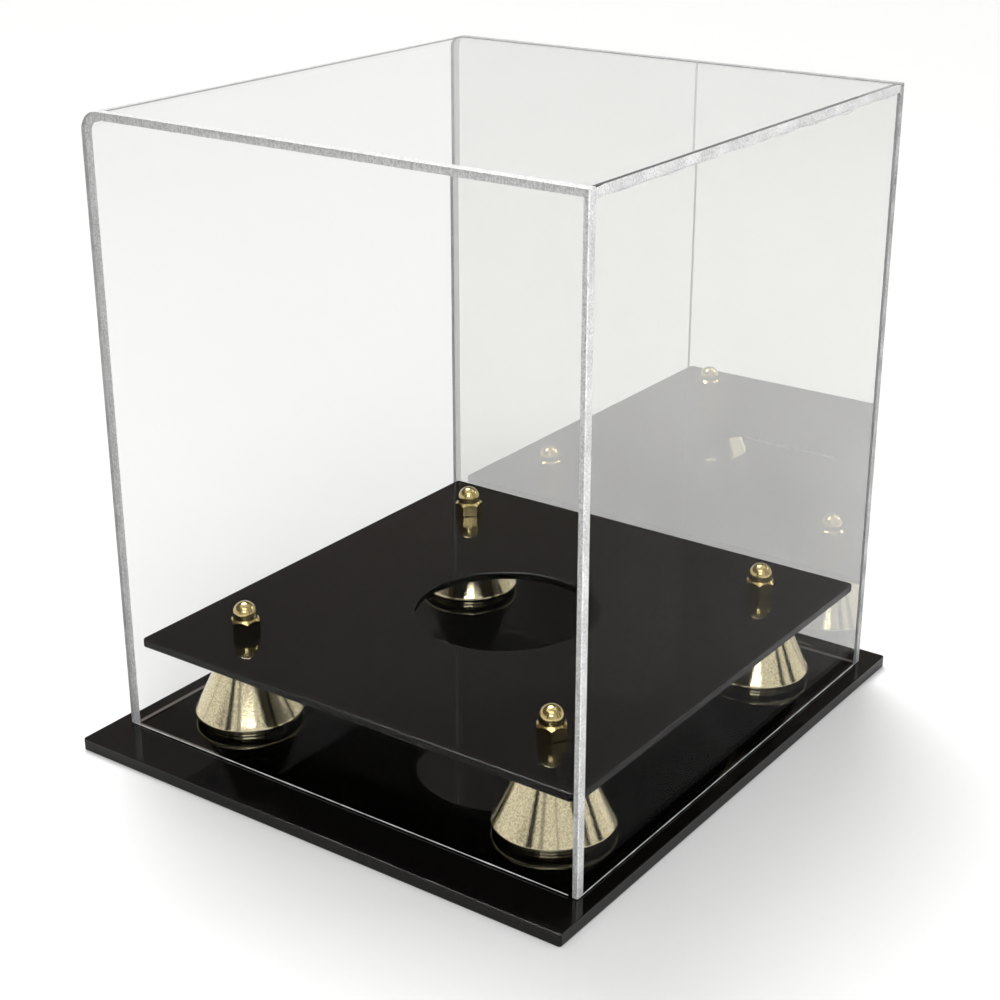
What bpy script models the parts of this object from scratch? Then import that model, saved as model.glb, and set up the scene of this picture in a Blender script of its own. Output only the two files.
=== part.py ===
"""Display case for a small ball: a clear lift-off cover with a mirrored back, on a black base with a raised deck.

Metres, +Z up. The origin is the middle of the base's underside, +X runs to the right along the case's front,
and -Y is the front.
"""

import math

import bmesh
import bpy
from mathutils import Matrix, Vector

MM = 0.001
JOINT_GAP = 0.3 * MM  # cement line, or play, that keeps neighbouring solids apart

# Base plate.
BASE_WIDTH = 202.0 * MM
BASE_DEPTH = 222.2 * MM
BASE_THICKNESS = 4.5 * MM
BASE_CORNER_RADIUS = 1.0 * MM

# Clear cover, made of sheet. It stands nearer to the back of the base than to the front.
SHEET = 3.0 * MM
COVER_WIDTH = 190.5 * MM
COVER_DEPTH = 194.2 * MM
COVER_HEIGHT = 217.7 * MM
BEND_RADIUS = 7.0 * MM  # outer radius, where the sheet is bent from the left side to the top
FRONT_LEDGE = 17.8 * MM  # base that shows in front of the cover
COVER_Y = -BASE_DEPTH / 2 + FRONT_LEDGE + COVER_DEPTH / 2

# Deck, and the round seat that keeps the ball from rolling.
DECK_THICKNESS = 3.0 * MM
DECK_TOP_ABOVE_BASE = 33.4 * MM
DECK_SIDE_CLEARANCE = 2.0 * MM  # inside the cover
DECK_END_CLEARANCE = 1.6 * MM
DECK_Y = COVER_Y + 0.4 * MM  # the loose cover rests a little forward
DECK_CORNER_RADIUS = 1.5 * MM
DECK_BAND = 45.0 * MM  # half width of the deck's free middle, clear of the cap nuts
BALL_SEAT_RADIUS = 33.0 * MM
PLATE_BEVEL = 0.4 * MM

# The four stand-offs stand on a rectangle centred under the deck.
POST_X = 65.2 * MM
POST_Y = 66.3 * MM

# Riser, a hollow bell.
RISER_HEIGHT = DECK_TOP_ABOVE_BASE - DECK_THICKNESS - 2 * JOINT_GAP
RISER_FOOT_RADIUS = 17.2 * MM
RISER_FOOT_HEIGHT = 1.2 * MM  # recessed foot, under the rim
RISER_RIM_RADIUS = 19.6 * MM
RISER_RIM_ROUND = 1.6 * MM
RISER_RIM_END = 28  # degrees above level, where the rim's rounding runs into the flank
RISER_TOP_RADIUS = 8.0 * MM
RISER_FLARE = 1.2  # exponent of the flank's curve: 1 is a straight cone
RISER_WALL = 1.6 * MM
RISER_CROWN = 3.0 * MM  # thickness of the closed top
RISER_EDGE = 0.5 * MM  # chamfer of the crown

# Number 10 hardware.
SCREW_RADIUS = 2.4 * MM
SCREW_HOLE_RADIUS = SCREW_RADIUS + JOINT_GAP
SCREW_HEAD_RADIUS = 4.7 * MM
SCREW_HEAD_ANGLE = math.radians(41)  # half of the 82 degree countersink
SCREW_LENGTH = 44.0 * MM
SCREW_TIP = 0.5 * MM
RECESS_LENGTH = 5.0 * MM  # arms of the cross recess
RECESS_WIDTH = 1.1 * MM
RECESS_DEPTH = 1.6 * MM
RECESS_TAPER = 0.5  # length of an arm at the recess's floor, over its length at the face
NUT_ACROSS_FLATS = 9.525 * MM
NUT_HEX_HEIGHT = 4.9 * MM
NUT_HEIGHT = 10.8 * MM
NUT_DOME_RADIUS = 4.2 * MM
NUT_BORE_DEPTH = 7.6 * MM
NUT_CHAMFER_ANGLE = math.radians(45)
NUT_CREST_RADIUS = NUT_DOME_RADIUS + 0.15 * MM  # flat ring inside the chamfer
NUT_TURNS = {"front_left": 21, "front_right": 4.5, "back_left": 41, "back_right": 56}  # degrees, as tightened

OVERSHOOT = 1.0 * MM  # how far a cutter reaches past the faces that it goes through

DECK_TOP = BASE_THICKNESS + DECK_TOP_ABOVE_BASE
COVER_BOTTOM = BASE_THICKNESS + JOINT_GAP
CORNERS = {
    "front_left": (-1, -1),
    "front_right": (1, -1),
    "back_left": (-1, 1),
    "back_right": (1, 1),
}


def clear_scene():
    for obj in list(bpy.data.objects):
        bpy.data.objects.remove(obj, do_unlink=True)


def material(name, color, roughness, metallic=0.0, transmission=0.0):
    made = bpy.data.materials.new(name)
    made.use_nodes = True
    shader = made.node_tree.nodes["Principled BSDF"]
    shader.inputs["Base Color"].default_value = (*color, 1.0)
    shader.inputs["Roughness"].default_value = roughness
    shader.inputs["Metallic"].default_value = metallic
    shader.inputs["Transmission Weight"].default_value = transmission
    return made


def object_from(name, mesh, surface=None):
    made = bpy.data.objects.new(name, mesh)
    bpy.context.scene.collection.objects.link(made)
    if surface and not mesh.materials:
        mesh.materials.append(surface)
    return made


def mesh_from(name, shape):
    """Turns a bmesh into a mesh with its faces pointing out."""
    bmesh.ops.recalc_face_normals(shape, faces=shape.faces)
    mesh = bpy.data.meshes.new(name)
    shape.to_mesh(mesh)
    shape.free()
    return mesh


def as_guide(obj):
    obj.hide_render = True
    obj.display_type = "WIRE"
    return obj


def smooth(mesh, angle=35):
    mesh.shade_smooth()
    mesh.set_sharp_from_angle(angle=math.radians(angle))


def arc(center, radius, start, end, steps):
    """Points of an arc in a plane, angles in degrees."""
    angles = [math.radians(start + (end - start) * i / steps) for i in range(steps + 1)]
    return [(center[0] + radius * math.cos(a), center[1] + radius * math.sin(a)) for a in angles]


def rounded_rectangle(width, depth, radius, steps=6):
    x, y = width / 2 - radius, depth / 2 - radius
    outline = arc((x, y), radius, 0, 90, steps)
    outline += arc((-x, y), radius, 90, 180, steps)
    outline += arc((-x, -y), radius, 180, 270, steps)
    outline += arc((x, -y), radius, 270, 360, steps)
    return outline


def turned(name, profile, segments):
    """A solid of revolution about Z. The profile is a list of (radius, height), from the bottom up.

    A profile that starts and ends on the axis makes a solid body, and any other is joined end to end as a ring.
    """
    shape = bmesh.new()
    on_axis = profile[0][0] == 0 and profile[-1][0] == 0
    rings = profile[1:-1] if on_axis else profile
    circles = []
    for radius, height in rings:
        turns = [2 * math.pi * i / segments for i in range(segments)]
        circle = [shape.verts.new((radius * math.cos(a), radius * math.sin(a), height)) for a in turns]
        circles.append(circle)
    pairs = list(zip(circles, circles[1:]))
    if not on_axis:
        pairs.append((circles[-1], circles[0]))
    for lower, upper in pairs:
        for i in range(segments):
            j = (i + 1) % segments
            shape.faces.new((lower[i], lower[j], upper[j], upper[i]))
    if on_axis:
        for circle, (_, height) in ((circles[0], profile[0]), (circles[-1], profile[-1])):
            middle = shape.verts.new((0, 0, height))
            for i in range(segments):
                shape.faces.new((circle[i], circle[(i + 1) % segments], middle))
    return mesh_from(name, shape)


def combine(obj, other, operation):
    """Adds a Boolean of obj with another object, which stays as a guide."""
    as_guide(other)
    modifier = obj.modifiers.new(other.name, "BOOLEAN")
    modifier.operation = operation
    modifier.solver = "EXACT"
    modifier.object = other


def applied(obj, surface):
    """Replaces an object by its mesh with the Booleans applied, for several objects to share."""
    bpy.context.view_layer.update()
    evaluated = obj.evaluated_get(bpy.context.evaluated_depsgraph_get())
    mesh = bpy.data.meshes.new_from_object(evaluated)
    bpy.data.objects.remove(obj)
    mesh.materials.clear()
    mesh.materials.append(surface)
    smooth(mesh)
    return mesh


def plate(name, surface, width, depth, thickness, radius, splits=()):
    """A flat plate with rounded corners, standing on z = 0, its top and bottom edges bevelled.

    Its faces are split along x at each of the splits, into strips that lie flush.
    """
    shape = bmesh.new()
    bottom = shape.faces.new([shape.verts.new((x, y, 0)) for x, y in rounded_rectangle(width, depth, radius)])
    grown = bmesh.ops.extrude_face_region(shape, geom=[bottom])["geom"]
    raised = [element for element in grown if isinstance(element, bmesh.types.BMVert)]
    bmesh.ops.translate(shape, verts=raised, vec=(0, 0, thickness))
    rims = [edge for edge in shape.edges if abs(edge.verts[0].co.z - edge.verts[1].co.z) < thickness / 2]
    bmesh.ops.bevel(shape, geom=rims, offset=PLATE_BEVEL, segments=1, affect="EDGES", profile=0.5)
    for x in splits:
        everything = list(shape.verts) + list(shape.edges) + list(shape.faces)
        bmesh.ops.bisect_plane(shape, geom=everything, plane_co=(x, 0, 0), plane_no=(1, 0, 0))
    mesh = mesh_from(name, shape)
    smooth(mesh)
    return object_from(name, mesh, surface)


def post_places(center_y):
    """The name and the place of each of the four stand-offs."""
    return [(corner, sx * POST_X, center_y + sy * POST_Y) for corner, (sx, sy) in CORNERS.items()]


def base_plate(surface):
    base = plate("base_plate", surface, BASE_WIDTH, BASE_DEPTH, BASE_THICKNESS, BASE_CORNER_RADIUS)
    outer = SCREW_HEAD_RADIUS + JOINT_GAP
    sink = (outer - SCREW_HOLE_RADIUS) / math.tan(SCREW_HEAD_ANGLE)
    head_z = JOINT_GAP
    profile = [
        (0, -OVERSHOOT),
        (outer, -OVERSHOOT),
        (outer, head_z),
        (SCREW_HOLE_RADIUS, head_z + sink),
        (SCREW_HOLE_RADIUS, BASE_THICKNESS + OVERSHOOT),
        (0, BASE_THICKNESS + OVERSHOOT),
    ]
    drill = turned("countersink", profile, 24)
    for corner, x, y in post_places(DECK_Y):
        cutter = object_from(f"countersink_{corner}", drill)
        cutter.location = (x, y, 0)
        combine(base, cutter, "DIFFERENCE")
    return base


def deck_plate(surface):
    width = COVER_WIDTH - 2 * SHEET - 2 * DECK_SIDE_CLEARANCE
    depth = COVER_DEPTH - 2 * SHEET - 2 * DECK_END_CLEARANCE
    band = (-DECK_BAND, DECK_BAND)
    deck = plate("deck_plate", surface, width, depth, DECK_THICKNESS, DECK_CORNER_RADIUS, band)
    deck.location = (0, DECK_Y, DECK_TOP - DECK_THICKNESS)
    seat_profile = [
        (0, -OVERSHOOT),
        (BALL_SEAT_RADIUS, -OVERSHOOT),
        (BALL_SEAT_RADIUS, DECK_THICKNESS - PLATE_BEVEL),
        (BALL_SEAT_RADIUS + PLATE_BEVEL + OVERSHOOT, DECK_THICKNESS + OVERSHOOT),
        (0, DECK_THICKNESS + OVERSHOOT),
    ]
    seat = object_from("ball_seat", turned("ball_seat", seat_profile, 64))
    seat.parent = deck
    combine(deck, seat, "DIFFERENCE")
    hole_profile = [
        (0, -OVERSHOOT),
        (SCREW_HOLE_RADIUS, -OVERSHOOT),
        (SCREW_HOLE_RADIUS, DECK_THICKNESS + OVERSHOOT),
        (0, DECK_THICKNESS + OVERSHOOT),
    ]
    drill = turned("deck_hole", hole_profile, 20)
    for corner, x, y in post_places(0):
        cutter = object_from(f"deck_hole_{corner}", drill)
        cutter.parent = deck
        cutter.location = (x, y, 0)
        combine(deck, cutter, "DIFFERENCE")
    return deck


def flank(start, height):
    """The outer radius of a riser's flank, from its start, (radius, height), up to the crown."""
    rise = (height - start[1]) / (RISER_HEIGHT - start[1])
    return RISER_TOP_RADIUS + (start[0] - RISER_TOP_RADIUS) * (1 - rise) ** RISER_FLARE


def riser_mesh(surface):
    """A hollow bell: recessed foot ring, round rim, concave flank and a closed crown with a screw hole."""
    rim_center = (RISER_RIM_RADIUS - RISER_RIM_ROUND, RISER_FOOT_HEIGHT + RISER_RIM_ROUND)
    rim = arc(rim_center, RISER_RIM_ROUND, -90, RISER_RIM_END, 5)
    start = rim[-1]
    steps = 6
    rise = RISER_HEIGHT - RISER_EDGE - start[1]
    heights = [start[1] + rise * i / steps for i in range(steps + 1)]
    outside = [(RISER_FOOT_RADIUS, 0), (RISER_FOOT_RADIUS, RISER_FOOT_HEIGHT)] + rim
    outside += [(flank(start, z), z) for z in heights[1:]]
    outside += [(RISER_TOP_RADIUS - RISER_EDGE, RISER_HEIGHT), (SCREW_HOLE_RADIUS, RISER_HEIGHT)]
    crown_z = RISER_HEIGHT - RISER_CROWN
    hollow = [z for z in heights if z < crown_z - RISER_WALL]
    inside = [(SCREW_HOLE_RADIUS, crown_z), (flank(start, crown_z) - RISER_WALL, crown_z)]
    inside += [(flank(start, z) - RISER_WALL, z) for z in reversed(hollow)]
    foot_bore = RISER_FOOT_RADIUS - RISER_WALL
    inside += [(foot_bore, RISER_FOOT_HEIGHT), (foot_bore, 0)]
    mesh = turned("riser", outside + inside, 32)
    mesh.materials.append(surface)
    smooth(mesh)
    return mesh


def risers(surface):
    mesh = riser_mesh(surface)
    for corner, x, y in post_places(DECK_Y):
        object_from(f"riser_{corner}", mesh).location = (x, y, BASE_THICKNESS + JOINT_GAP)


def hexagon_prism(name, across_flats, height):
    shape = bmesh.new()
    radius = across_flats / math.sqrt(3)
    corners = [math.radians(60 * i) for i in range(6)]
    bottom = shape.faces.new([shape.verts.new((radius * math.cos(a), radius * math.sin(a), 0)) for a in corners])
    grown = bmesh.ops.extrude_face_region(shape, geom=[bottom])["geom"]
    raised = [element for element in grown if isinstance(element, bmesh.types.BMVert)]
    bmesh.ops.translate(shape, verts=raised, vec=(0, 0, height))
    return mesh_from(name, shape)


def dome_profile(steps=6):
    """Neck and half sphere of the cap nut, rising from inside the hexagon."""
    center = NUT_HEIGHT - NUT_DOME_RADIUS
    start = NUT_HEX_HEIGHT / 2
    half_sphere = arc((0, center), NUT_DOME_RADIUS, 0, 90, steps)[:-1]
    return [(0, start), (NUT_DOME_RADIUS, start)] + half_sphere + [(0, NUT_HEIGHT)]


def chamfer_profile():
    """A body that trims the hexagon's upper corners."""
    middle = NUT_ACROSS_FLATS / math.sqrt(3) + OVERSHOOT
    rise = (middle - NUT_CREST_RADIUS) * math.tan(NUT_CHAMFER_ANGLE)
    return [
        (0, -OVERSHOOT),
        (middle, -OVERSHOOT),
        (middle, NUT_HEX_HEIGHT - rise),
        (NUT_CREST_RADIUS, NUT_HEX_HEIGHT),
        (0, NUT_HEX_HEIGHT),
    ]


def cap_nut_mesh(surface):
    """An acorn nut with a blind bore, its Booleans applied so that the four nuts share the result."""
    nut = object_from("cap_nut", hexagon_prism("cap_nut_hexagon", NUT_ACROSS_FLATS, NUT_HEX_HEIGHT))
    combine(nut, object_from("nut_chamfer", turned("nut_chamfer", chamfer_profile(), 36)), "INTERSECT")
    combine(nut, object_from("nut_dome", turned("nut_dome", dome_profile(), 24)), "UNION")
    bore_profile = [
        (0, -OVERSHOOT),
        (SCREW_HOLE_RADIUS, -OVERSHOOT),
        (SCREW_HOLE_RADIUS, NUT_BORE_DEPTH),
        (0, NUT_BORE_DEPTH),
    ]
    combine(nut, object_from("nut_bore", turned("nut_bore", bore_profile, 16)), "DIFFERENCE")
    return applied(nut, surface)


def cap_nuts(surface):
    mesh = cap_nut_mesh(surface)
    for corner, x, y in post_places(DECK_Y):
        nut = object_from(f"cap_nut_{corner}", mesh)
        nut.location = (x, y, DECK_TOP + JOINT_GAP)
        nut.rotation_euler.z = math.radians(NUT_TURNS[corner])


def screw_mesh(surface):
    """A countersunk machine screw with a cross recess, head down at z = 0."""
    head = (SCREW_HEAD_RADIUS - SCREW_RADIUS) / math.tan(SCREW_HEAD_ANGLE)
    profile = [
        (0, 0),
        (SCREW_HEAD_RADIUS, 0),
        (SCREW_RADIUS, head),
        (SCREW_RADIUS, SCREW_LENGTH - SCREW_TIP),
        (SCREW_RADIUS - SCREW_TIP, SCREW_LENGTH),
        (0, SCREW_LENGTH),
    ]
    screw = object_from("screw", turned("screw_body", profile, 24))
    for angle in (0, 90):
        shape = bmesh.new()
        bmesh.ops.create_cube(shape, size=1)
        spread = Matrix.Diagonal(Vector((RECESS_LENGTH, RECESS_WIDTH, 2 * RECESS_DEPTH, 1)))
        bmesh.ops.transform(shape, matrix=spread, verts=shape.verts)
        for vert in shape.verts:
            if vert.co.z > 0:
                vert.co.x *= RECESS_TAPER
        blade = object_from(f"recess_{angle}", mesh_from(f"recess_{angle}", shape))
        blade.rotation_euler.z = math.radians(angle)
        combine(screw, blade, "DIFFERENCE")
    return applied(screw, surface)


def screws(surface):
    mesh = screw_mesh(surface)
    for corner, x, y in post_places(DECK_Y):
        object_from(f"screw_{corner}", mesh).location = (x, y, JOINT_GAP)


def bend_line(inset, steps=8):
    """The bent sheet's outer face, or one inset from it, from its bottom left to its top right, as (x, z)."""
    center = (BEND_RADIUS - COVER_WIDTH / 2, COVER_HEIGHT - BEND_RADIUS)
    bend = arc(center, BEND_RADIUS - inset, 180, 90, steps)
    return [(inset - COVER_WIDTH / 2, 0)] + bend + [(COVER_WIDTH / 2, COVER_HEIGHT - inset)]


def extruded_along_y(name, faces, start, end, surface):
    """Extrudes faces, given as lists of (x, z) points, from y = start to y = end."""
    shape = bmesh.new()
    corners = {}
    for face in faces:
        for point in face:
            if point not in corners:
                corners[point] = shape.verts.new((point[0], start, point[1]))
        shape.faces.new([corners[point] for point in face])
    grown = bmesh.ops.extrude_face_region(shape, geom=list(shape.faces))["geom"]
    moved = [element for element in grown if isinstance(element, bmesh.types.BMVert)]
    bmesh.ops.translate(shape, verts=moved, vec=(0, end - start, 0))
    mesh = mesh_from(name, shape)
    smooth(mesh)
    return object_from(name, mesh, surface)


def cover(clear, mirror):
    """A sheet bent over the left side and the top, a right wall under its edge, and panels over front and back."""
    frame = bpy.data.objects.new("cover_lift", None)
    bpy.context.scene.collection.objects.link(frame)
    frame.location = (0, COVER_Y, COVER_BOTTOM)
    outside, inside = bend_line(0), bend_line(SHEET)
    bent = [list(span) for span in zip(outside, outside[1:], inside[1:], inside)]
    right, top = COVER_WIDTH / 2, COVER_HEIGHT - SHEET - JOINT_GAP
    wall = [(right - SHEET, 0), (right - SHEET, top), (right, top), (right, 0)]
    panel = outside + [(right, 0)]
    front, back = -COVER_DEPTH / 2, COVER_DEPTH / 2
    end = COVER_DEPTH / 2 - SHEET - JOINT_GAP
    pieces = [
        extruded_along_y("cover_bent_sheet", bent, -end, end, clear),
        extruded_along_y("cover_right_wall", [wall], -end, end, clear),
        extruded_along_y("cover_front_panel", [panel], front, front + SHEET, clear),
        extruded_along_y("cover_mirror_panel", [panel], back - SHEET, back, mirror),
    ]
    for piece in pieces:
        piece.parent = frame


def main():
    clear_scene()
    black = material("black_acrylic", (0.012, 0.012, 0.013), 0.06)
    gold = material("gold_plate", (0.72, 0.62, 0.40), 0.12, metallic=1.0)
    brass = material("cap_nut_brass", (0.66, 0.49, 0.20), 0.18, metallic=1.0)
    steel = material("screw_steel", (0.55, 0.55, 0.56), 0.35, metallic=1.0)
    clear = material("clear_acrylic", (0.95, 0.97, 0.97), 0.02, transmission=1.0)
    mirror = material("mirror_acrylic", (0.86, 0.88, 0.88), 0.02, metallic=1.0)
    base_plate(black)
    deck_plate(black)
    risers(gold)
    cap_nuts(brass)
    screws(steel)
    cover(clear, mirror)


main()
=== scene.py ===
"""Looks of the display case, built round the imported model.

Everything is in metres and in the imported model's frame: +Z is up and -Y is the case's front.
"""

import math

import bmesh
import bpy
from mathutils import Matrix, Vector, noise

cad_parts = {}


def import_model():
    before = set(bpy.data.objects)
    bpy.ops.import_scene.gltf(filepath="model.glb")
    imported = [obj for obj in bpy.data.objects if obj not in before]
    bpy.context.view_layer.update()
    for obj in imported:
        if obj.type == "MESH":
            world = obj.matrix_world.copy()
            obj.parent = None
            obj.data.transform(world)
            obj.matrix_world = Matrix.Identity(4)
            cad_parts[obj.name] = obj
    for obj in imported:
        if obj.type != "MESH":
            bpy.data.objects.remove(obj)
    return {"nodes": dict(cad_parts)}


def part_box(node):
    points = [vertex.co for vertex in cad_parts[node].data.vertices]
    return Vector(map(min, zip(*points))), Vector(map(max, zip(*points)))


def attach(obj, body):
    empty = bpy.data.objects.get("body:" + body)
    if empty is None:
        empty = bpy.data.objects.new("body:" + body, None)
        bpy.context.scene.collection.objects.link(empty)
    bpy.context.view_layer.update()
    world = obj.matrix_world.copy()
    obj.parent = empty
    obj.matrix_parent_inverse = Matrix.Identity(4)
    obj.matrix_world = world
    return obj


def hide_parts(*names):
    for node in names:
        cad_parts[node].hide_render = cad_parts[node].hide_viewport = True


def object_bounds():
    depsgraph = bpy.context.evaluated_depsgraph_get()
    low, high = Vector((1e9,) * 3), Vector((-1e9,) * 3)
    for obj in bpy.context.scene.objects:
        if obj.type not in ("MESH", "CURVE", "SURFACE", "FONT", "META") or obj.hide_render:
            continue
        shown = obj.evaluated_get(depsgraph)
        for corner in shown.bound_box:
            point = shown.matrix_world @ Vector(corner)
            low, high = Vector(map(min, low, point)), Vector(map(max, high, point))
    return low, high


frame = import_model()
cad_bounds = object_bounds()

MM = 0.001
CORNERS = ("front_left", "front_right", "back_left", "back_right")

SHEET = 3.0 * MM
BEND_RADIUS = 7.0 * MM
BEND_PAINTED_SHADE_FACETS = range(8, 13)  # the bend's facets that are tinted dark: painted shade, which draws the bend as a dark line
SAW_EDGE = 0.28 * MM  # broken edges of a sawn sheet
BURR = 0.26 * MM  # radius of the burr on a sawn edge
SEAM = 0.06 * MM  # cement line between the cover's sheets
PLATE_ROUND = 0.4 * MM  # rounding of the black plates' edges
SCREW_HOLE_RADIUS = 2.7 * MM
COUNTERSINK_RADIUS = 5.0 * MM
COUNTERSINK_HALF_ANGLE = math.radians(41)
BALL_SEAT_RADIUS = 33.0 * MM

ACRYLIC_IOR = 1.49
SHARP_ANGLE = math.radians(38)  # edges that turn more than this are shaded sharp

RISER_TOP_RADIUS = 8.0 * MM
RISER_WALL = 1.6 * MM
RISER_FOOT_RADIUS = 17.2 * MM
RISER_FOOT_HEIGHT = 1.2 * MM
RISER_RIM_ROUND = 1.6 * MM
RISER_LIP = 0.5 * MM  # rounding of the crown's edge
RISER_CROWN = 3.0 * MM
RISER_FLARE = 1.2  # exponent of the flank's curve: 1 is a straight cone

NUT_ACROSS_FLATS = 9.525 * MM
NUT_HEX_HEIGHT = 4.9 * MM
NUT_HEIGHT = 10.8 * MM
NUT_DOME_RADIUS = 4.2 * MM
NUT_CREST_RADIUS = NUT_DOME_RADIUS + 0.15 * MM
NUT_BORE_DEPTH = 7.6 * MM
NUT_TURNS = {"front_left": 21, "front_right": 4.5, "back_left": 41, "back_right": 56}  # degrees


# ---------------------------------------------------------------- meshes


def arc(center, radius, start, end, steps):
    """Points of an arc in a plane, angles in degrees."""
    angles = [math.radians(start + (end - start) * i / steps) for i in range(steps + 1)]
    return [(center[0] + radius * math.cos(a), center[1] + radius * math.sin(a)) for a in angles]


def rounded_rectangle(width, depth, radius, steps=12):
    x, y = width / 2 - radius, depth / 2 - radius
    outline = arc((x, y), radius, 0, 90, steps)
    outline += arc((-x, y), radius, 90, 180, steps)
    outline += arc((-x, -y), radius, 180, 270, steps)
    outline += arc((x, -y), radius, 270, 360, steps)
    return outline


def bend_line(size, depth=0.0, steps=16):
    """(x, z) of the bent sheet's outer face, or one at a depth inside it, from bottom left to top right."""
    center = (BEND_RADIUS - size.x / 2, size.z - BEND_RADIUS)
    bend = arc(center, BEND_RADIUS - depth, 180, 90, steps)
    return [(depth - size.x / 2, 0)] + bend + [(size.x / 2, size.z - depth)]


def finished(name, shape, materials):
    """Makes an object of a bmesh, its faces pointing out and its flat faces shaded flat."""
    bmesh.ops.recalc_face_normals(shape, faces=shape.faces)
    if shape.calc_volume(signed=True) < 0:
        bmesh.ops.reverse_faces(shape, faces=shape.faces)
    mesh = bpy.data.meshes.new(name)
    shape.to_mesh(mesh)
    shape.free()
    for material in materials:
        mesh.materials.append(material)
    mesh.shade_smooth()
    mesh.set_sharp_from_angle(angle=SHARP_ANGLE)
    made = bpy.data.objects.new(name, mesh)
    bpy.context.scene.collection.objects.link(made)
    return made


def break_edges(shape, edges, width, material):
    """Breaks sharp edges of a sawn sheet, the new faces taking the material in the given slot."""
    bmesh.ops.bevel(shape, geom=edges, offset=width, segments=1, affect="EDGES", material=material)


def weigh_normals(obj):
    """Keeps the large flat faces flat where a rounded edge runs into them."""
    modifier = obj.modifiers.new("flat faces", "WEIGHTED_NORMAL")
    modifier.keep_sharp = True
    modifier.weight = 100


def stacked(shape, rings, side_material=0):
    """Joins rings of points into a body with flat ends, and returns its rings of vertices."""
    circles = [[shape.verts.new(point) for point in ring] for ring in rings]
    for lower, upper in zip(circles, circles[1:]):
        for i in range(len(lower)):
            j = (i + 1) % len(lower)
            shape.faces.new((lower[i], lower[j], upper[j], upper[i])).material_index = side_material
    for circle in (circles[0], circles[-1]):
        shape.faces.new(circle)
    return circles


def rounding(radius, steps=4):
    """(inset, advance) of a quarter round, from the flat end outwards."""
    angles = [math.pi / 2 * i / steps for i in range(steps + 1)]
    return [(radius * (1 - math.sin(a)), radius * (1 - math.cos(a))) for a in angles]


def turned(name, profile, segments, materials=()):
    """A solid of revolution about Z, from a list of (radius, height) that runs up its section.

    A profile that starts and ends on the axis makes a solid body. Any other is joined end to end as a
    ring.
    """
    shape = bmesh.new()
    on_axis = profile[0][0] == 0 and profile[-1][0] == 0
    rings = profile[1:-1] if on_axis else profile
    turns = [(math.cos(a), math.sin(a)) for a in (2 * math.pi * i / segments for i in range(segments))]
    circles = []
    for radius, height in rings:
        circles.append([shape.verts.new((radius * x, radius * y, height)) for x, y in turns])
    if not on_axis:
        circles.append(circles[0])
    for lower, upper in zip(circles, circles[1:]):
        for i in range(segments):
            j = (i + 1) % segments
            shape.faces.new((lower[i], lower[j], upper[j], upper[i]))
    if on_axis:
        for circle, height in ((circles[0], profile[0][1]), (circles[-1], profile[-1][1])):
            middle = shape.verts.new((0, 0, height))
            for i in range(segments):
                shape.faces.new((circle[i], circle[(i + 1) % segments], middle))
    return finished(name, shape, materials)


def applied(obj, tools):
    """Applies Booleans, given as (object, operation), and removes the tools."""
    for other, operation in tools:
        modifier = obj.modifiers.new(other.name, "BOOLEAN")
        modifier.operation = operation
        modifier.solver = "EXACT"
        modifier.object = other
    bpy.context.view_layer.update()
    mesh = bpy.data.meshes.new_from_object(obj.evaluated_get(bpy.context.evaluated_depsgraph_get()))
    obj.modifiers.clear()
    obj.data = mesh
    mesh.shade_smooth()
    mesh.set_sharp_from_angle(angle=SHARP_ANGLE)
    for other, _ in tools:
        if other.name in bpy.data.objects:
            bpy.data.objects.remove(other)
    return obj


# ---------------------------------------------------------------- materials


def new_material(name, **inputs):
    made = bpy.data.materials.new(name)
    made.use_nodes = True
    shader = made.node_tree.nodes["Principled BSDF"]
    for key, value in inputs.items():
        shader.inputs[key.replace("_", " ")].default_value = value
    return made, made.node_tree, shader


def node(tree, kind, **settings):
    made = tree.nodes.new(kind)
    for key, value in settings.items():
        if key in made.inputs:
            made.inputs[key].default_value = value
        else:
            setattr(made, key, value)
    return made


def object_coordinates(tree, scale=(1, 1, 1)):
    place = node(tree, "ShaderNodeTexCoord")
    mapping = node(tree, "ShaderNodeMapping", Scale=scale)
    tree.links.new(place.outputs["Object"], mapping.inputs["Vector"])
    return mapping.outputs["Vector"]


def noise_value(tree, vector, scale, detail=3.0, roughness=0.55):
    made = node(tree, "ShaderNodeTexNoise", Scale=scale, Detail=detail, Roughness=roughness)
    tree.links.new(vector, made.inputs["Vector"])
    return made.outputs["Fac"]


def ranged(tree, value, low, high, to_low, to_high):
    made = node(tree, "ShaderNodeMapRange")
    made.inputs["From Min"].default_value = low
    made.inputs["From Max"].default_value = high
    made.inputs["To Min"].default_value = to_low
    made.inputs["To Max"].default_value = to_high
    tree.links.new(value, made.inputs["Value"])
    return made.outputs["Result"]


def mixed_color(tree, factor, first, second):
    made = node(tree, "ShaderNodeMix", data_type="RGBA")
    made.inputs[6].default_value = (*first, 1)
    made.inputs[7].default_value = (*second, 1)
    tree.links.new(factor, made.inputs["Factor"])
    return made.outputs[2]


def bumped(tree, shader, height, strength, distance):
    made = node(tree, "ShaderNodeBump", Strength=strength, Distance=distance)
    tree.links.new(height, made.inputs["Height"])
    tree.links.new(made.outputs["Normal"], shader.inputs["Normal"])


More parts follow.
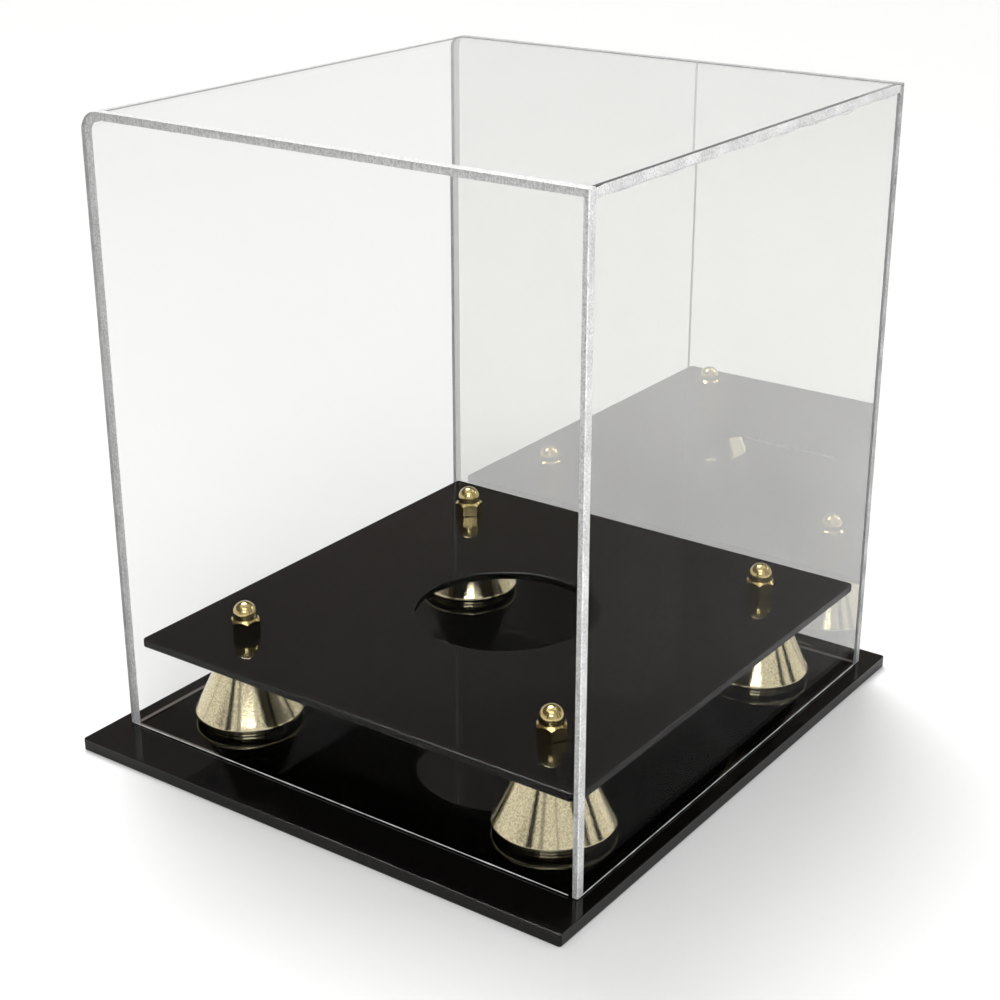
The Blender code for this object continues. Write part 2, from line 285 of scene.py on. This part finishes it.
def specks(tree, vector, scale, size, share):
    """1 on small round specks, 0 elsewhere: scale is cells in a metre, and share the part with a speck."""
    cells = node(tree, "ShaderNodeTexVoronoi", Scale=scale)
    tree.links.new(vector, cells.inputs["Vector"])
    near = node(tree, "ShaderNodeMath", operation="LESS_THAN")
    near.inputs[1].default_value = size
    tree.links.new(cells.outputs["Distance"], near.inputs[0])
    split = node(tree, "ShaderNodeSeparateColor")
    tree.links.new(cells.outputs["Color"], split.inputs["Color"])
    chosen = node(tree, "ShaderNodeMath", operation="LESS_THAN")
    chosen.inputs[1].default_value = share
    tree.links.new(split.outputs["Red"], chosen.inputs[0])
    both = node(tree, "ShaderNodeMath", operation="MULTIPLY")
    tree.links.new(near.outputs[0], both.inputs[0])
    tree.links.new(chosen.outputs[0], both.inputs[1])
    return both.outputs[0]


def black_acrylic():
    made, tree, shader = new_material("black_acrylic", IOR=ACRYLIC_IOR)
    place = object_coordinates(tree)
    dust = specks(tree, place, 900, 0.05, 0.10)
    haze = noise_value(tree, place, 45, 5)
    color = mixed_color(tree, dust, (0.0035, 0.0032, 0.003), (0.10, 0.095, 0.085))
    tree.links.new(color, shader.inputs["Base Color"])
    tree.links.new(ranged(tree, haze, 0.3, 0.75, 0.004, 0.016), shader.inputs["Roughness"])
    bumped(tree, shader, noise_value(tree, place, 28, 2), 0.05, 0.4 * MM)
    return made


def black_rim():
    """The plates' cut sides, which are duller than their faces."""
    made, tree, shader = new_material("black_rim", IOR=ACRYLIC_IOR, Specular_IOR_Level=0.16)
    place = object_coordinates(tree, (1, 1, 9))
    grain = noise_value(tree, place, 500, 4, 0.6)
    color = mixed_color(tree, grain, (0.003, 0.003, 0.0025), (0.012, 0.0115, 0.010))
    tree.links.new(color, shader.inputs["Base Color"])
    tree.links.new(ranged(tree, grain, 0.3, 0.7, 0.12, 0.3), shader.inputs["Roughness"])
    return made


def clear_acrylic(name="clear_acrylic", shade=1.0):
    """Clear sheet: it refracts, and it reflects little unless it is seen at a low angle."""
    made, tree, shader = new_material(name)
    tree.nodes.remove(shader)
    place = object_coordinates(tree)
    tint = noise_value(tree, place, 9, 2)
    # A shade below 1 darkens the sheet's colour: painted shade, used for the dark line along the bend
    light = [shade * part for part in (0.972, 0.973, 0.971)]
    dark = [shade * part for part in (0.962, 0.963, 0.960)]
    color = mixed_color(tree, tint, light, dark)
    through = node(tree, "ShaderNodeBsdfRefraction", IOR=ACRYLIC_IOR, Roughness=0.0)
    tree.links.new(color, through.inputs["Color"])
    gloss = node(tree, "ShaderNodeBsdfGlossy", Roughness=0.0, Color=(1, 1, 1, 1))
    share = node(tree, "ShaderNodeFresnel", IOR=ACRYLIC_IOR)
    low = node(tree, "ShaderNodeMath", operation="POWER")
    low.inputs[1].default_value = 2.2
    tree.links.new(share.outputs[0], low.inputs[0])
    mixed = node(tree, "ShaderNodeMixShader")
    tree.links.new(low.outputs[0], mixed.inputs[0])
    tree.links.new(through.outputs[0], mixed.inputs[1])
    tree.links.new(gloss.outputs[0], mixed.inputs[2])
    tree.links.new(mixed.outputs[0], tree.nodes["Material Output"].inputs["Surface"])
    return made


def sawn_edge(name, dark, light):
    """A sheet's sawn faces: sandy, with the long marks of the blade."""
    made, tree, shader = new_material(name, IOR=ACRYLIC_IOR, Transmission_Weight=0.15)
    place = object_coordinates(tree)
    grain = noise_value(tree, place, 1500, 4, 0.7)
    marks = noise_value(tree, object_coordinates(tree, (1, 0.05, 0.05)), 2600, 2, 0.5)
    shade = node(tree, "ShaderNodeMath", operation="MULTIPLY_ADD")
    tree.links.new(marks, shade.inputs[0])
    shade.inputs[1].default_value = 0.4
    tree.links.new(grain, shade.inputs[2])
    strength = ranged(tree, shade.outputs[0], 0.52, 0.86, 0, 1)
    color = mixed_color(tree, strength, dark, light)
    tree.links.new(color, shader.inputs["Base Color"])
    tree.links.new(ranged(tree, grain, 0.3, 0.7, 0.25, 0.6), shader.inputs["Roughness"])
    bumped(tree, shader, grain, 0.5, 0.05 * MM)
    return made


def half_silver():
    """The mirror sheet's silvered back face: it reflects about half of the light and passes the rest."""
    made, tree, shader = new_material("half_silver")
    tree.nodes.remove(shader)
    place = object_coordinates(tree)
    haze = noise_value(tree, place, 14, 4)
    pale = (0.92, 0.92, 0.91, 1)
    through = node(tree, "ShaderNodeBsdfRefraction", IOR=ACRYLIC_IOR, Roughness=0.0, Color=pale)
    gloss = node(tree, "ShaderNodeBsdfGlossy", Roughness=0.0)
    tree.links.new(mixed_color(tree, haze, (0.88, 0.88, 0.87), (0.82, 0.82, 0.80)), gloss.inputs["Color"])
    mixed = node(tree, "ShaderNodeMixShader")
    tree.links.new(ranged(tree, haze, 0.3, 0.7, 0.44, 0.52), mixed.inputs[0])
    tree.links.new(through.outputs[0], mixed.inputs[1])
    tree.links.new(gloss.outputs[0], mixed.inputs[2])
    tree.links.new(mixed.outputs[0], tree.nodes["Material Output"].inputs["Surface"])
    return made


def gold_plate():
    made, tree, shader = new_material("gold_plate", Metallic=1.0)
    place = object_coordinates(tree)
    grain = noise_value(tree, place, 1500, 3, 0.6)
    sand = ranged(tree, grain, 0.38, 0.72, 0, 1)
    color = mixed_color(tree, sand, (0.78, 0.70, 0.47), (0.50, 0.43, 0.27))
    tree.links.new(color, shader.inputs["Base Color"])
    tree.links.new(ranged(tree, grain, 0.3, 0.7, 0.05, 0.13), shader.inputs["Roughness"])
    bumped(tree, shader, grain, 0.45, 0.06 * MM)
    return made


def nut_brass():
    made, tree, shader = new_material("cap_nut_brass", Metallic=1.0)
    place = object_coordinates(tree)
    grain = noise_value(tree, place, 2500, 3, 0.6)
    cloud = noise_value(tree, place, 300, 3)
    color = mixed_color(tree, cloud, (0.62, 0.49, 0.23), (0.50, 0.39, 0.17))
    tree.links.new(color, shader.inputs["Base Color"])
    tree.links.new(ranged(tree, grain, 0.3, 0.7, 0.05, 0.13), shader.inputs["Roughness"])
    bumped(tree, shader, grain, 0.1, 0.03 * MM)
    return made


def screw_steel():
    made, tree, shader = new_material("screw_steel", Metallic=1.0)
    place = object_coordinates(tree)
    grain = noise_value(tree, place, 3000, 3, 0.6)
    color = mixed_color(tree, grain, (0.60, 0.60, 0.60), (0.45, 0.45, 0.46))
    tree.links.new(color, shader.inputs["Base Color"])
    tree.links.new(ranged(tree, grain, 0.3, 0.7, 0.2, 0.4), shader.inputs["Roughness"])
    return made


# ---------------------------------------------------------------- pieces


def size_of(name):
    low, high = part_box(name)
    return low, high, (low + high) / 2, high - low


def rounded_plate(name, node_name, corner, materials):
    """A black plate with rounded edges, in a CAD plate's place. materials are its faces' and its rim's."""
    low, high, center, size = size_of(node_name)
    shape = bmesh.new()
    quarter = rounding(PLATE_ROUND)
    steps = [(inset, low.z + rise) for inset, rise in quarter]
    steps += [(inset, high.z - rise) for inset, rise in reversed(quarter)]
    rings = []
    for inset, z in steps:
        outline = rounded_rectangle(size.x - 2 * inset, size.y - 2 * inset, corner - inset)
        rings.append([(x + center.x, y + center.y, z) for x, y in outline])
    stacked(shape, rings)
    for face in shape.faces:
        heights = [vert.co.z for vert in face.verts]
        if max(heights) - min(heights) > size.z / 2:
            face.material_index = 1
    return finished(name, shape, materials)


def base_plate(materials):
    plate = rounded_plate("base_board", "base_plate", 1.0 * MM, materials)
    low, high, _, _ = size_of("base_plate")
    sink = (COUNTERSINK_RADIUS - SCREW_HOLE_RADIUS) / math.tan(COUNTERSINK_HALF_ANGLE)
    profile = [
        (0, low.z - MM),
        (COUNTERSINK_RADIUS + MM * 0.3, low.z - MM),
        (COUNTERSINK_RADIUS + MM * 0.3, low.z),
        (COUNTERSINK_RADIUS, low.z + 0.3 * MM),
        (SCREW_HOLE_RADIUS, low.z + 0.3 * MM + sink),
        (SCREW_HOLE_RADIUS, high.z + MM),
        (0, high.z + MM),
    ]
    tools = []
    for corner in CORNERS:
        _, _, center, _ = size_of(f"screw_{corner}")
        drill = turned(f"drill_{corner}", profile, 64)
        drill.location = (center.x, center.y, 0)
        tools.append((drill, "DIFFERENCE"))
    applied(plate, tools)
    weigh_normals(plate)
    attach(plate, "base")
    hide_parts("base_plate")


def deck_plate(materials):
    deck = rounded_plate("deck_board", "deck_plate", 1.5 * MM, materials)
    low, high, center, _ = size_of("deck_plate")
    round_edge = rounding(PLATE_ROUND)
    profile = [(0, low.z - MM), (BALL_SEAT_RADIUS + PLATE_ROUND, low.z - MM)]
    profile += [(BALL_SEAT_RADIUS + inset, low.z + rise) for inset, rise in round_edge]
    profile += [(BALL_SEAT_RADIUS + inset, high.z - rise) for inset, rise in reversed(round_edge)]
    profile += [(BALL_SEAT_RADIUS + PLATE_ROUND, high.z + MM), (0, high.z + MM)]
    seat = turned("seat", profile, 160)
    seat.location = (center.x, center.y, 0)
    tools = [(seat, "DIFFERENCE")]
    hole = [(0, low.z - MM), (SCREW_HOLE_RADIUS, low.z - MM)]
    hole += [(SCREW_HOLE_RADIUS, high.z + MM), (0, high.z + MM)]
    for corner in CORNERS:
        _, _, place, _ = size_of(f"screw_{corner}")
        drill = turned(f"drill_{corner}", hole, 48)
        drill.location = (place.x, place.y, 0)
        tools.append((drill, "DIFFERENCE"))
    applied(deck, tools)
    weigh_normals(deck)
    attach(deck, "base")
    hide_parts("deck_plate")


def risers(material):
    """Hollow bells with a recessed foot, a round rim, a concave flank and a closed crown."""
    _, _, _, size = size_of("riser_front_left")
    height = size.z
    crown = height - RISER_CROWN
    rim_center = (size.x / 2 - RISER_RIM_ROUND, RISER_FOOT_HEIGHT + RISER_RIM_ROUND)
    rim = arc(rim_center, RISER_RIM_ROUND, -90, 28, 16)
    start_radius, start_height = rim[-1]

    def flank(z):
        rise = (z - start_height) / (height - start_height)
        return RISER_TOP_RADIUS + (start_radius - RISER_TOP_RADIUS) * (1 - rise) ** RISER_FLARE

    heights = [start_height + (height - RISER_LIP - start_height) * i / 24 for i in range(25)]
    outside = [(RISER_FOOT_RADIUS, 0), (RISER_FOOT_RADIUS, RISER_FOOT_HEIGHT)] + rim
    outside += [(flank(z), z) for z in heights[1:]]
    outside += arc((RISER_TOP_RADIUS - RISER_LIP, height - RISER_LIP), RISER_LIP, 20, 90, 4)
    outside += [(SCREW_HOLE_RADIUS, height)]
    inside = [(SCREW_HOLE_RADIUS, crown), (flank(crown) - RISER_WALL, crown)]
    inside += [(flank(z) - RISER_WALL, z) for z in reversed(heights) if z < crown - RISER_WALL]
    foot_bore = RISER_FOOT_RADIUS - RISER_WALL
    inside += [(foot_bore, RISER_FOOT_HEIGHT), (foot_bore, 0)]
    for corner in CORNERS:
        low, _, center, _ = size_of(f"riser_{corner}")
        bell = turned(f"bell_{corner}", outside + inside, 160, [material])
        bell.location = (center.x, center.y, low.z)
        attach(bell, "base")
        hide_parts(f"riser_{corner}")


def cap_nut_mesh(material):
    shape = bmesh.new()
    radius = NUT_ACROSS_FLATS / math.sqrt(3)
    corners = arc((0, 0), radius, 0, 300, 5)
    stacked(shape, [[(x, y, z) for x, y in corners] for z in (0, NUT_HEX_HEIGHT)])
    nut = finished("cap_nut", shape, [material])
    outer, drop = radius + MM, radius + MM - NUT_CREST_RADIUS
    chamfer = [(0, -MM), (outer, -MM), (outer, NUT_HEX_HEIGHT - drop)]
    chamfer += [(NUT_CREST_RADIUS, NUT_HEX_HEIGHT), (0, NUT_HEX_HEIGHT)]
    cap = [(0, NUT_HEX_HEIGHT / 2), (NUT_DOME_RADIUS, NUT_HEX_HEIGHT / 2)]
    cap += arc((0, NUT_HEIGHT - NUT_DOME_RADIUS), NUT_DOME_RADIUS, 0, 90, 20)[:-1] + [(0, NUT_HEIGHT)]
    hole = [(0, -MM), (SCREW_HOLE_RADIUS, -MM), (SCREW_HOLE_RADIUS, NUT_BORE_DEPTH), (0, NUT_BORE_DEPTH)]
    tools = [
        (turned("nut_chamfer", chamfer, 120), "INTERSECT"),
        (turned("nut_dome", cap, 80), "UNION"),
        (turned("nut_bore", hole, 48), "DIFFERENCE"),
    ]
    return applied(nut, tools)


def cap_nuts(material):
    first = cap_nut_mesh(material)
    for corner in CORNERS:
        low, _, center, _ = size_of(f"cap_nut_{corner}")
        nut = bpy.data.objects.new(f"acorn_{corner}", first.data)
        bpy.context.scene.collection.objects.link(nut)
        edge = nut.modifiers.new("broken edges", "BEVEL")
        edge.width = 0.12 * MM
        edge.segments = 2
        edge.limit_method = "ANGLE"
        edge.angle_limit = math.radians(28)
        edge.harden_normals = True
        nut.location = (center.x, center.y, low.z)
        nut.rotation_euler.z = math.radians(NUT_TURNS[corner])
        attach(nut, "base")
        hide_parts(f"cap_nut_{corner}")
    bpy.data.objects.remove(first)


def cover_sheet(name, node_name, outer_line, inner_line, bare_end, materials):
    """A sheet that runs from the front panel to the mirror, between two lines of (x, z).

    Its front and back ends are sawn, and so is the end of the lines if it's left bare of cement. materials
    are its faces', its sawn faces' and its bend's painted shade, which draws the bend as a dark line.
    """
    _, front, center, _ = size_of("cover_front_panel")
    mirror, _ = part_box("cover_mirror_panel")
    bottom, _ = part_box("cover_front_panel")
    start, end, steps = front.y + SEAM, mirror.y - SEAM, 48
    shape = bmesh.new()
    rows = []
    for i in range(steps + 1):
        y = start + (end - start) * i / steps
        row = []
        for line in (outer_line, inner_line):
            row.append([shape.verts.new((center.x + x, y, bottom.z + z)) for x, z in line])
        rows.append(row)
    last = len(outer_line) - 1
    for (outer, inner), (next_outer, next_inner) in zip(rows, rows[1:]):
        for i in range(last):
            face = shape.faces.new((outer[i], outer[i + 1], next_outer[i + 1], next_outer[i]))
            face.material_index = 2 if i in BEND_PAINTED_SHADE_FACETS else 0
            shape.faces.new((inner[i + 1], inner[i], next_inner[i], next_inner[i + 1]))
        shape.faces.new((outer[0], next_outer[0], next_inner[0], inner[0]))
        rim = shape.faces.new((outer[last], next_outer[last], next_inner[last], inner[last]))
        rim.material_index = 1 if bare_end else 0
    for outer, inner in (rows[0], rows[-1]):
        for i in range(last):
            shape.faces.new((outer[i], outer[i + 1], inner[i + 1], inner[i])).material_index = 1
    if bare_end:
        pairs = [(row[0][last], after[0][last]) for row, after in zip(rows, rows[1:])]
        break_edges(shape, [shape.edges.get(pair) for pair in pairs], SAW_EDGE, 0)
    made = finished(name, shape, materials)
    weigh_normals(made)
    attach(made, "cover")
    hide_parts(node_name)


def cover_panel(name, node_name, outside, materials):
    """A panel over one end of the cover. materials are its inside's, its rim's and its outside's."""
    low, high, center, size = size_of(node_name)
    outline = bend_line(size) + [(size.x / 2, 0)]
    shape = bmesh.new()
    levels = (high.y, low.y) if outside == "front" else (low.y, high.y)
    rings = [[(center.x + x, y, low.z + z) for x, z in outline] for y in levels]
    circles = stacked(shape, rings, side_material=1)
    outer = circles[-1]
    for face in shape.faces:
        if all(vert in outer for vert in face.verts):
            face.material_index = 2
        elif max(vert.co.z for vert in face.verts) < low.z + MM:
            face.material_index = 0
    edges = [shape.edges.get(pair) for pair in zip(outer, outer[1:])]
    break_edges(shape, edges, SAW_EDGE, 1)
    made = finished(name, shape, materials)
    weigh_normals(made)
    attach(made, "cover")
    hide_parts(node_name)


def bead(name, path, radii, material, sides=8):
    """A thin bead along a path of points that runs mostly along Y, or else along X."""
    along_y = abs(path[-1][1] - path[0][1]) > abs(path[-1][0] - path[0][0])
    shape = bmesh.new()
    rings = []
    for (x, y, z), radius in zip(path, radii):
        section = arc((0, 0), radius, 0, 360, sides)[:-1]
        if along_y:
            rings.append([(x + across, y, z + rise) for across, rise in section])
        else:
            rings.append([(x, y + across, z + rise) for across, rise in section])
    stacked(shape, rings)
    made = finished(name, shape, [material])
    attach(made, "cover")


def cement_beads(material):
    """Cement squeezed out of the top right joint: thin and wavy, and heavier towards the back."""
    low, high, _, _ = size_of("cover_right_wall")
    length, steps = high.y - low.y, 300
    for number, phase in enumerate((3.1, 8.4)):
        path, radii = [], []
        for i in range(steps + 1):
            along = i / steps
            wave = Vector((0, along * 17, phase))
            heavy = 0.2 + 0.8 * along * along
            radii.append((0.12 + 0.26 * heavy * abs(noise.noise(wave * 1.7))) * MM)
            z = high.z + SEAM + (2.0 * heavy * noise.noise(wave) + 0.5 * number) * MM
            path.append((high.x - 0.04 * MM, low.y + along * length, z))
        bead(f"cement_bead_{number + 1}", path, radii, material)


def saw_burrs(material):
    """The bright burr left on the lower outside edges of the front panel and of the right wall."""
    low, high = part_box("cover_front_panel")
    _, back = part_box("cover_right_wall")
    inset, steps = 0.08 * MM, 200
    z = low.z + BURR
    front, right = [], []
    for i in range(steps + 1):
        along = i / steps
        front.append((low.x + 2 * MM + along * (high.x - low.x - 5.5 * MM), low.y + inset, z))
        right.append((high.x - inset, low.y + 2 * MM + along * (back.y - low.y - 4 * MM), z))
    for name, path, phase in (("front_burr", front, 1.7), ("right_burr", right, 5.2)):
        radii = [BURR * (0.8 + 0.4 * noise.noise(Vector((0, i * 0.23, phase)))) for i in range(steps + 1)]
        bead(name, path, radii, material)


def cover():
    # The bend's facets get a darkened copy of the clear sheet: painted shade that draws the bend as a dark
    # line
    clear, bend_painted_shade = clear_acrylic(), clear_acrylic("bent_acrylic_painted_shade", 0.55)
    sawn = sawn_edge("sawn_edge", (0.50, 0.51, 0.51), (1.0, 1.0, 1.0))
    # The mirror sheet's rim is coloured far darker than the other sawn faces: painted shade for the dark
    # reflections inside the silvered sheet
    mirror_rim_painted_shade = sawn_edge("mirror_rim_painted_shade", (0.12, 0.12, 0.13), (0.75, 0.75, 0.76))
    _, _, _, size = size_of("cover_front_panel")
    outside, inside = bend_line(size), bend_line(size, SHEET)
    cover_sheet("cover_bent_skin", "cover_bent_sheet", outside, inside, True, [clear, sawn, bend_painted_shade])
    right, top = size.x / 2, size.z - SHEET - SEAM
    outer, inner = [(right, 0), (right, top)], [(right - SHEET, 0), (right - SHEET, top)]
    cover_sheet("cover_right_skin", "cover_right_wall", outer, inner, False, [clear, sawn])
    cover_panel("cover_front_skin", "cover_front_panel", "front", [clear, sawn, clear])
    silvered = [clear, mirror_rim_painted_shade, half_silver()]
    cover_panel("mirror_sheet", "cover_mirror_panel", "back", silvered)
    cement_beads(sawn)
    saw_burrs(sawn)


# ---------------------------------------------------------------- stage


def floor():
    made, tree, shader = new_material("floor", Roughness=0.6)
    place = object_coordinates(tree)
    color = mixed_color(tree, noise_value(tree, place, 3, 3), (0.86, 0.86, 0.86), (0.84, 0.84, 0.84))
    tree.links.new(color, shader.inputs["Base Color"])
    shape = bmesh.new()
    bmesh.ops.create_grid(shape, x_segments=8, y_segments=8, size=6)
    ground = finished("floor", shape, [made])
    ground.location.z = cad_bounds[0].z - 0.05 * MM


def card(name, place, target, size, power):
    """A lamp with a softbox, there for the bright spots that it leaves in the metal pieces."""
    data = bpy.data.lights.new(name, "AREA")
    data.shape = "RECTANGLE"
    data.size, data.size_y = size
    data.energy = power
    light = bpy.data.objects.new(name, data)
    bpy.context.scene.collection.objects.link(light)
    light.location = place
    light.rotation_euler = (Vector(target) - Vector(place)).to_track_quat("-Z", "Y").to_euler()
    light.visible_camera = False


def world():
    """A pale room: dim at the back above a low bright wall, and pale in front, with dark gaps in it."""
    made = bpy.data.worlds.new("studio")
    bpy.context.scene.world = made
    made.use_nodes = True
    tree = made.node_tree
    background = tree.nodes["Background"]
    place = node(tree, "ShaderNodeTexCoord")
    split = node(tree, "ShaderNodeSeparateXYZ")
    tree.links.new(place.outputs["Generated"], split.inputs[0])
    back = node(tree, "ShaderNodeValToRGB")
    back.color_ramp.interpolation = "EASE"
    stops = back.color_ramp.elements
    dim = (0.17, 0.15, 0.135, 1)
    stops[0].position, stops[0].color = 0.22, (0.97, 0.97, 0.97, 1)
    stops[1].position, stops[1].color = 0.34, dim
    stops.new(0.70).color = dim
    stops.new(0.85).color = (0.95, 0.95, 0.95, 1)
    tree.links.new(split.outputs["Z"], back.inputs["Fac"])

    turn = node(tree, "ShaderNodeMath", operation="ARCTAN2")
    tree.links.new(split.outputs["Y"], turn.inputs[0])
    tree.links.new(split.outputs["X"], turn.inputs[1])
    front = node(tree, "ShaderNodeValToRGB")
    panels = front.color_ramp.elements
    gaps = ((-101, -90, 0.03), (-77, -70, 0.35), (-4, 5, 0.03), (21, 31, 0.03))
    panels[0].position, panels[0].color = 0, (0.9, 0.9, 0.9, 1)
    panels[1].position, panels[1].color = 1, (0.9, 0.9, 0.9, 1)
    for start, end, dark in gaps:
        for degrees, shade in ((start - 0.8, 0.9), (start, dark), (end, dark), (end + 0.8, 0.9)):
            panels.new(0.5 + degrees / 360).color = (shade, shade, shade, 1)
    fraction = ranged(tree, turn.outputs[0], -math.pi, math.pi, 0, 1)
    tree.links.new(fraction, front.inputs["Fac"])

    toward = node(tree, "ShaderNodeVectorMath", operation="DOT_PRODUCT")
    toward.inputs[1].default_value = (0.866, -0.5, 0)
    tree.links.new(place.outputs["Generated"], toward.inputs[0])
    share = ranged(tree, toward.outputs["Value"], 0.12, 0.3, 0, 1)
    mixed = node(tree, "ShaderNodeMix", data_type="RGBA")
    tree.links.new(share, mixed.inputs[0])
    tree.links.new(back.outputs["Color"], mixed.inputs[6])
    tree.links.new(front.outputs["Color"], mixed.inputs[7])
    tree.links.new(mixed.outputs[2], background.inputs["Color"])


def camera():
    data = bpy.data.cameras.new("camera")
    data.lens = 67.885
    data.sensor_width = 36
    data.clip_start = 0.01
    data.clip_end = 50
    made = bpy.data.objects.new("camera", data)
    bpy.context.scene.collection.objects.link(made)
    made.location = (0.35702, -0.49900, 0.33255)
    made.rotation_euler = [math.radians(angle) for angle in (67.772, 0.059, 35.573)]
    bpy.context.scene.camera = made


def main():
    black = [black_acrylic(), black_rim()]
    base_plate(black)
    deck_plate(black)
    risers(gold_plate())
    cap_nuts(nut_brass())
    steel = screw_steel()
    for corner in CORNERS:
        for place in frame["nodes"][f"screw_{corner}"].material_slots:
            place.material = steel
    cover()
    floor()
    sun = bpy.data.lights.new("key", "SUN")
    sun.energy = 2.0
    sun.angle = math.radians(30)
    key = bpy.data.objects.new("key", sun)
    bpy.context.scene.collection.objects.link(key)
    key.rotation_euler = Vector((0.55, -0.45, -1.3)).to_track_quat("-Z", "Y").to_euler()
    card("camera_card", (0.47, -0.78, 0.58), (-0.02, -0.05, 0.02), (0.5, 0.22), 2.6)
    card("hood_card", (0.30, -0.55, 1.02), (-0.02, -0.05, 0.04), (0.8, 0.35), 2.2)
    world()
    camera()
    bpy.context.scene.view_settings.view_transform = "Standard"


main()
